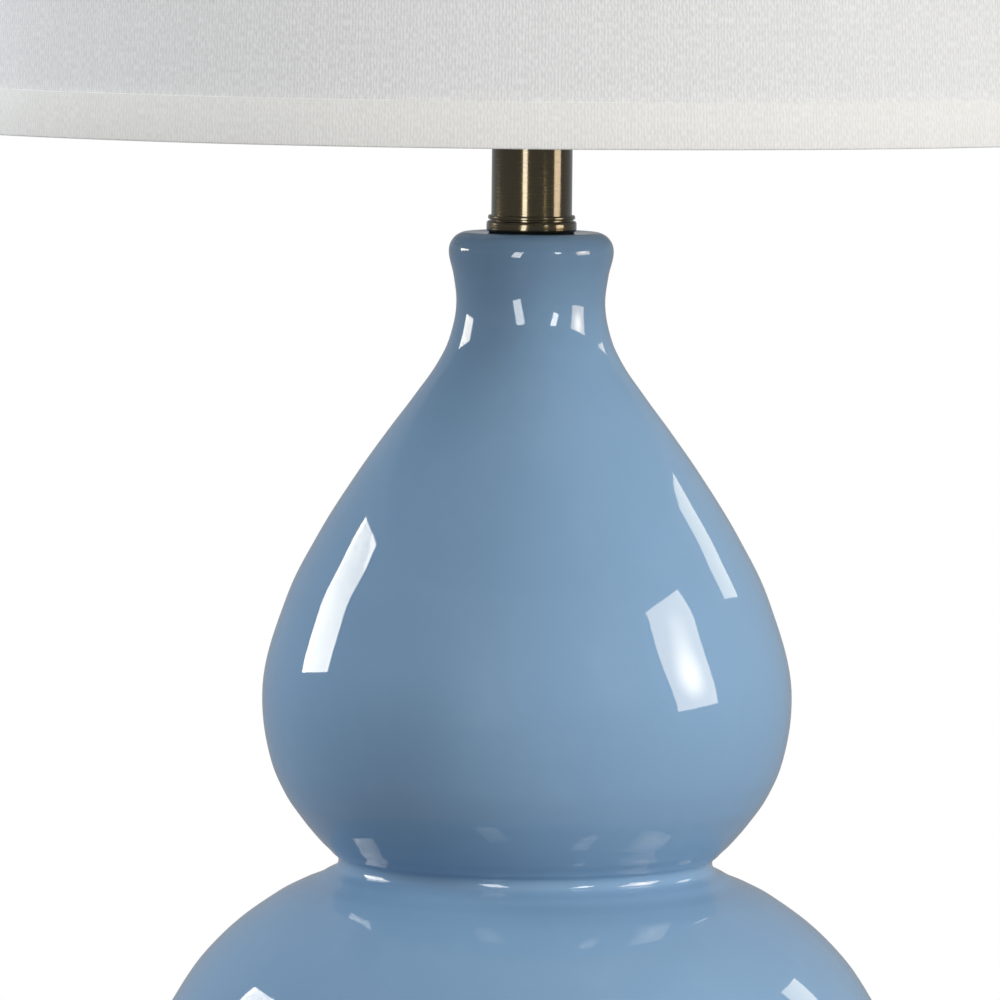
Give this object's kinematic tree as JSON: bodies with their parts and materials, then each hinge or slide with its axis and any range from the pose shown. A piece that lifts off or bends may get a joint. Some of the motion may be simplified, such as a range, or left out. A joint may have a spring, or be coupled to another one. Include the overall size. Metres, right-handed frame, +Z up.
{
  "type": "table lamp",
  "caption": "Table lamp with a glazed double gourd body on a stepped round base, a brass neck, and a tapered linen drum shade carried on a harp.",
  "frame": {"origin": "middle of the felt underside, on the surface that the lamp stands on", "axes": "+Z up along the threaded rod; -Y is the front, where the switch knob points; +Y is the back, where the cord leaves the base; the harp lies in the XZ plane"},
  "size_m": [0.3693, 0.3692, 0.6354],
  "materials": {
    "felt": "dark green-black felt",
    "antique_brass": "brushed antique brass, dark bronze-brown with a clear lacquer",
    "socket_brass": "bright lacquered brass",
    "contact_brass": "plain brass",
    "cast_iron": "rough casting, oiled",
    "zinc_steel": "zinc-plated steel",
    "white_wire": "white powder-coated wire",
    "filament_wire": "drawn tungsten wire",
    "bare_aluminium": "plain rolled aluminium",
    "blue_glaze": "glossy denim-blue glaze over white clay",
    "black_rubber": "matt",
    "black_bushing": "moulded nylon",
    "moulded_core": "dark thermoset moulding",
    "fibre_sleeve": "pressed fibre board",
    "black_glass": "fused black glass",
    "frosted_glass": "inside-frosted",
    "clear_glass": "clear",
    "linen": "off-white slubbed linen",
    "linen_binding": "off-white woven binding, a little warmer than the linen",
    "shade_liner": "white rigid styrene sheet"
  },
  "bodies": {
    "lamp_body": {"felt_pad": "felt", "base_plate": "antique_brass", "base_weight": "cast_iron", "cord_bushing": "black_bushing", "threaded_rod": "zinc_steel", "base_washer": "zinc_steel", "base_lock_washer": "zinc_steel", "base_nut": "zinc_steel", "saddle_nut": "zinc_steel", "gourd_body": "blue_glaze", "foot_gasket": "black_rubber", "neck_gasket": "black_rubber", "seat_ring": "antique_brass", "neck_tube": "antique_brass", "tube_cap": "antique_brass", "harp_saddle": "antique_brass", "harp": "antique_brass", "harp_stud": "antique_brass", "socket_cap": "socket_brass", "socket_set_screw": "zinc_steel", "socket_shell": "socket_brass", "socket_insulator": "fibre_sleeve", "socket_core": "moulded_core", "terminal_screws": "contact_brass", "screw_shell": "bare_aluminium", "centre_contact": "contact_brass"},
    "switch": {"switch_shaft": "zinc_steel", "switch_knob": "moulded_core"},
    "sleeve_left": {"harp_sleeve_left": "antique_brass"},
    "sleeve_right": {"harp_sleeve_right": "antique_brass"},
    "bulb_base": {"bulb_screw_cap": "bare_aluminium", "bulb_insulator": "black_glass", "bulb_tip": "contact_brass"},
    "bulb_glass": {"bulb_globe": "frosted_glass", "bulb_stem": "clear_glass", "bulb_filament": "filament_wire"},
    "shade": {"shade_fabric": "linen", "shade_lining": "shade_liner", "shade_bottom_ring": "white_wire", "shade_top_ring": "white_wire", "shade_bottom_trim": "linen_binding", "shade_top_trim": "linen_binding", "spider_hub": "white_wire", "spider_arm_1": "white_wire", "spider_arm_2": "white_wire", "spider_arm_3": "white_wire"},
    "finial_nut": {"finial_insert": "contact_brass"},
    "finial_ball": {"finial_knob": "antique_brass"}
  },
  "joints": [
    {"name": "switch_knob_turn", "type": "hinge", "parent": "lamp_body", "child": "switch", "pos_m": [0, 0, 0.4234], "axis": [0, -1, 0], "continuous": true},
    {"name": "left_sleeve_lift", "type": "slide", "parent": "lamp_body", "child": "sleeve_left", "axis": [0, 0, 1], "range_m": [0, 0.014]},
    {"name": "right_sleeve_lift", "type": "slide", "parent": "lamp_body", "child": "sleeve_right", "axis": [0, 0, 1], "range_m": [0, 0.014]},
    {"name": "bulb_rise", "type": "slide", "parent": "lamp_body", "child": "bulb_base", "axis": [0, 0, 1], "range_m": [0, 0.01814]},
    {"name": "bulb_turn", "type": "hinge", "parent": "bulb_base", "child": "bulb_glass", "pos_m": [0, 0, 0.4336], "axis": [0, 0, 1], "range_deg": [0, 1801]},
    {"name": "shade_turn", "type": "hinge", "parent": "lamp_body", "child": "shade", "pos_m": [0, 0, 0.6041], "axis": [0, 0, 1], "continuous": true},
    {"name": "finial_rise", "type": "slide", "parent": "lamp_body", "child": "finial_nut", "axis": [0, 0, 1], "range_m": [0, 0.00753]},
    {"name": "finial_turn", "type": "hinge", "parent": "finial_nut", "child": "finial_ball", "pos_m": [0, 0, 0.6073], "axis": [0, 0, 1], "range_deg": [0, 2881]}
  ],
  "couplings": [
    {"joint": "bulb_turn", "follows": "bulb_rise", "rad_per_m": 1731.6},
    {"joint": "finial_turn", "follows": "finial_rise", "rad_per_m": 6679.3}
  ]
}
